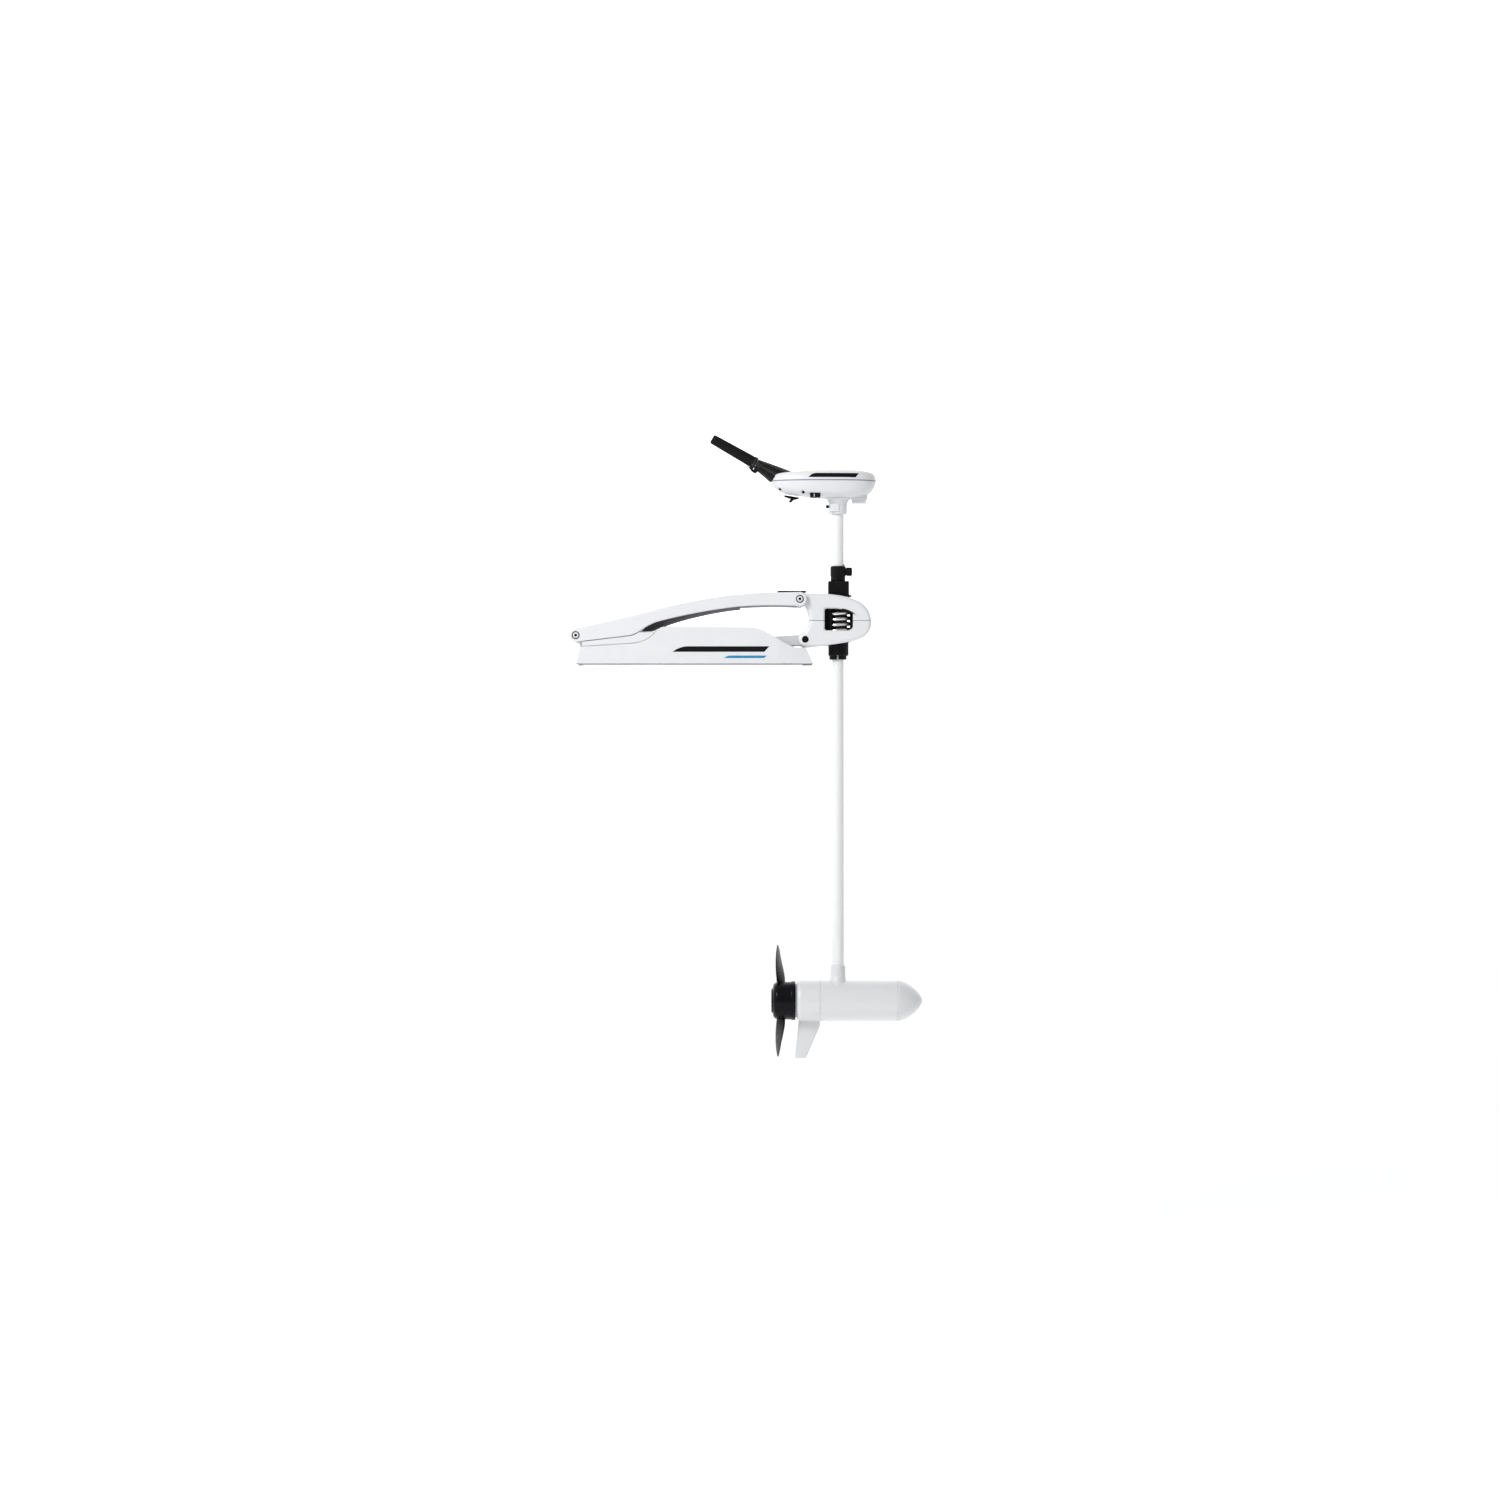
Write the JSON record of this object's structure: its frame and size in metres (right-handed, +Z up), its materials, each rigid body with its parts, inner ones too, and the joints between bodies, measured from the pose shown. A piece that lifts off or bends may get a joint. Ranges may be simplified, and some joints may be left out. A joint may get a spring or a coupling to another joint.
{
  "type": "trolling motor",
  "caption": "Bow-mount electric trolling motor: folding deck mount, breakaway steering column, tiller control head and submerged motor with propeller.",
  "frame": {"origin": "centre of the base's flat underside, where it bolts to the deck", "axes": "+X outboard along the base, +Z up along the steering column, Y across the mount"},
  "size_m": [0.8444, 0.14, 1.4951],
  "materials": {
    "white_paint": "satin white powder coat",
    "shaft_white": "smooth white composite tube",
    "white_plastic": "fine-grained moulded white",
    "black_plastic": "moulded black",
    "black_rubber": "soft matt black",
    "grey_rubber": "dark grey moulded strip",
    "polymer": "dark bearing plastic",
    "steel": "plain stainless",
    "spring_steel": "bright spring wire",
    "ferrite": "dull ceramic magnet",
    "copper": "wound copper and laminations",
    "carbon": "pressed carbon",
    "board": "green circuit board"
  },
  "bodies": {
    "base": {"base_channel": "white_paint", "side_cover_near": "white_plastic", "side_cover_far": "white_plastic", "motor_rest": "black_rubber", "lower_arm_axle": "steel"},
    "upper_arms": {"upper_arm_near": "white_paint", "upper_arm_far": "white_paint", "arm_web": "white_paint", "arm_bumper_near": "grey_rubber", "arm_bumper_far": "grey_rubber", "arm_pivot_bolt_near": "steel", "arm_pivot_bolt_far": "steel", "housing_pivot_bolt_near": "steel", "housing_pivot_bolt_far": "steel"},
    "release_lever": {"release_lever": "black_plastic"},
    "lower_arm": {"lower_arm": "white_paint"},
    "housing": {"housing_upper_shell": "white_paint", "housing_lower_shell": "white_paint", "spring_cage": "black_plastic", "breakaway_spring": "spring_steel", "lower_pivot_screw_near": "steel", "lower_pivot_screw_far": "steel"},
    "carrier": {"guide_tube": "polymer", "upper_seat": "black_plastic", "lower_seat": "black_plastic"},
    "steering_sleeve": {"steering_sleeve": "polymer"},
    "depth_collar": {"depth_collar": "black_plastic"},
    "depth_knob": {"depth_knob": "black_plastic"},
    "shaft": {"shaft_tube": "shaft_white", "head_stem": "white_plastic", "head_lower_shell": "white_plastic", "head_upper_cover": "white_plastic", "control_board": "board", "cable_gland": "black_rubber", "accessory_port": "white_plastic", "head_screw_1_near": "steel", "head_screw_1_far": "steel", "head_screw_2_near": "steel", "head_screw_2_far": "steel", "motor_body": "white_paint", "skeg_end_bell": "white_paint", "nose_cone": "white_paint", "magnet_upper": "ferrite", "magnet_lower": "ferrite", "brush_plate": "polymer", "brush_upper": "carbon", "brush_lower": "carbon", "rear_bearing": "steel", "front_bearing": "steel", "shaft_seal": "black_rubber"},
    "rotor": {"motor_shaft": "steel", "armature": "copper", "propeller": "black_plastic", "drive_pin": "steel", "prop_nut": "black_plastic"},
    "tiller_arm": {"tiller_arm": "black_plastic"},
    "tiller_tube": {"tiller_tube": "steel"},
    "tiller_grip": {"tiller_grip": "black_rubber"},
    "tilt_latch": {"tilt_latch": "black_plastic"},
    "mode_switch": {"mode_switch": "black_plastic"}
  },
  "joints": [
    {"name": "fold", "type": "hinge", "parent": "base", "child": "upper_arms", "pos_m": [-0.2832, 0, 0.0696], "axis": [0, -1, 0], "range_deg": [0, 171.5]},
    {"name": "housing_turn", "type": "hinge", "parent": "upper_arms", "child": "housing", "pos_m": [0.2508, 0, 0.156], "axis": [0, -1, 0], "range_deg": [-81.21, 0]},
    {"name": "lower_arm_fold", "type": "hinge", "parent": "base", "child": "lower_arm", "pos_m": [-0.2328, 0, 0.028], "axis": [0, -1, 0], "range_deg": [0, 170.7]},
    {"name": "release_lever_lift", "type": "hinge", "parent": "upper_arms", "child": "release_lever", "pos_m": [0.2, 0, 0.1725], "axis": [0, -1, 0], "range_deg": [0, 25], "stiffness_Nm_per_rad": 0.4, "springref_deg": -11.46},
    {"name": "breakaway", "type": "hinge", "parent": "housing", "child": "carrier", "pos_m": [0.3432, 0, 0.105], "axis": [0, -1, 0], "range_deg": [-6, 6], "stiffness_Nm_per_rad": 400},
    {"name": "stow_turn", "type": "hinge", "parent": "carrier", "child": "steering_sleeve", "pos_m": [0.3432, 0, 0.105], "axis": [0, 0, 1], "range_deg": [0, 95.01]},
    {"name": "steer", "type": "hinge", "parent": "steering_sleeve", "child": "depth_collar", "pos_m": [0.3432, 0, 0.22], "axis": [0, 0, 1], "continuous": true},
    {"name": "collar_knob_turn", "type": "hinge", "parent": "depth_collar", "child": "depth_knob", "pos_m": [0.3702, 0, 0.224], "axis": [1, 0, 0], "range_deg": [0, 540]},
    {"name": "depth", "type": "slide", "parent": "depth_collar", "child": "shaft", "axis": [0, 0, 1], "range_m": [-0.11, 0.6]},
    {"name": "propeller_spin", "type": "hinge", "parent": "shaft", "child": "rotor", "pos_m": [0.3432, 0, -0.8054], "axis": [1, 0, 0], "continuous": true},
    {"name": "tiller_tilt", "type": "hinge", "parent": "shaft", "child": "tiller_arm", "pos_m": [0.1855, 0, 0.4382], "axis": [0, -1, 0], "range_deg": [0, 45]},
    {"name": "speed_twist", "type": "hinge", "parent": "tiller_arm", "child": "tiller_tube", "pos_m": [0.1464, 0, 0.4829], "axis": [-0.8686, 0, 0.4955], "range_deg": [-60, 100]},
    {"name": "tiller_extend", "type": "slide", "parent": "tiller_tube", "child": "tiller_grip", "axis": [-0.8686, 0, 0.4955], "range_m": [0, 0.07]},
    {"name": "tilt_latch_press", "type": "hinge", "parent": "shaft", "child": "tilt_latch", "pos_m": [0.2472, 0, 0.4014], "axis": [0, -1, 0], "range_deg": [0, 20], "stiffness_Nm_per_rad": 0.05, "springref_deg": -17.19},
    {"name": "mode_switch_press", "type": "slide", "parent": "shaft", "child": "mode_switch", "axis": [0, 1, 0], "range_m": [0, 0.002], "stiffness_N_per_m": 300, "springref_m": -0.001}
  ],
  "couplings": [
    {"joint": "housing_turn", "follows": "fold", "ratio": -0.47347},
    {"joint": "lower_arm_fold", "follows": "fold", "ratio": 0.99526},
    {"joint": "stow_turn", "follows": "fold", "ratio": 0.55394}
  ]
}
